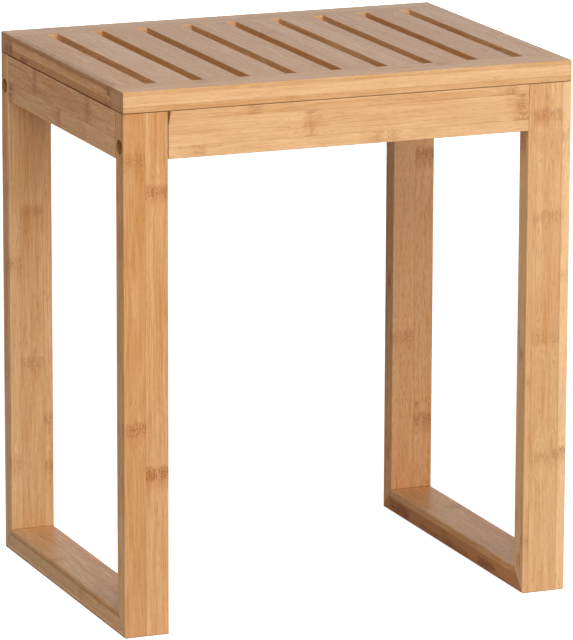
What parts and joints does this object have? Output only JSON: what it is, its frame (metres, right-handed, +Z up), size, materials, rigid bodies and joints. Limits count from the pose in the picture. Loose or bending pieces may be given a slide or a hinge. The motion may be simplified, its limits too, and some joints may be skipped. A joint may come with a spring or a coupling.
{
  "type": "shower stool",
  "caption": "Slatted bamboo shower stool: a rectangular seat with drain slots on two closed side frames with mitred feet, joined by a front and a back apron.",
  "frame": {"origin": "on the floor under the middle of the seat", "axes": "+Z up, +X to the right along the seat's longer side, +Y from the front to the back"},
  "size_m": [0.4, 0.3, 0.46],
  "materials": {
    "bamboo": "edge-glued caramelised bamboo strips under satin varnish",
    "dowel_wood": "bare turned beech",
    "bolt_steel": "bright zinc plate",
    "nut_steel": "bright zinc plate, turned",
    "screw_steel": "bright zinc plate"
  },
  "bodies": {
    "root": {"seat_front_rail": "bamboo", "seat_back_rail": "bamboo", "seat_slat_01": "bamboo", "seat_slat_02": "bamboo", "seat_slat_03": "bamboo", "seat_slat_04": "bamboo", "seat_slat_05": "bamboo", "seat_slat_06": "bamboo", "seat_slat_07": "bamboo", "seat_slat_08": "bamboo", "seat_slat_09": "bamboo", "seat_slat_10": "bamboo", "left_front_leg": "bamboo", "left_back_leg": "bamboo", "right_front_leg": "bamboo", "right_back_leg": "bamboo", "left_side_apron": "bamboo", "right_side_apron": "bamboo", "left_foot_rail": "bamboo", "right_foot_rail": "bamboo", "front_apron": "bamboo", "back_apron": "bamboo", "seat_front_dowels": "dowel_wood", "seat_back_dowels": "dowel_wood", "left_frame_dowels": "dowel_wood", "right_frame_dowels": "dowel_wood", "apron_dowels": "dowel_wood", "left_mitre_tongues": "bamboo", "right_mitre_tongues": "bamboo", "connector_bolts": "bolt_steel", "barrel_nuts": "nut_steel", "seat_screws": "screw_steel"}
  },
  "joints": []
}
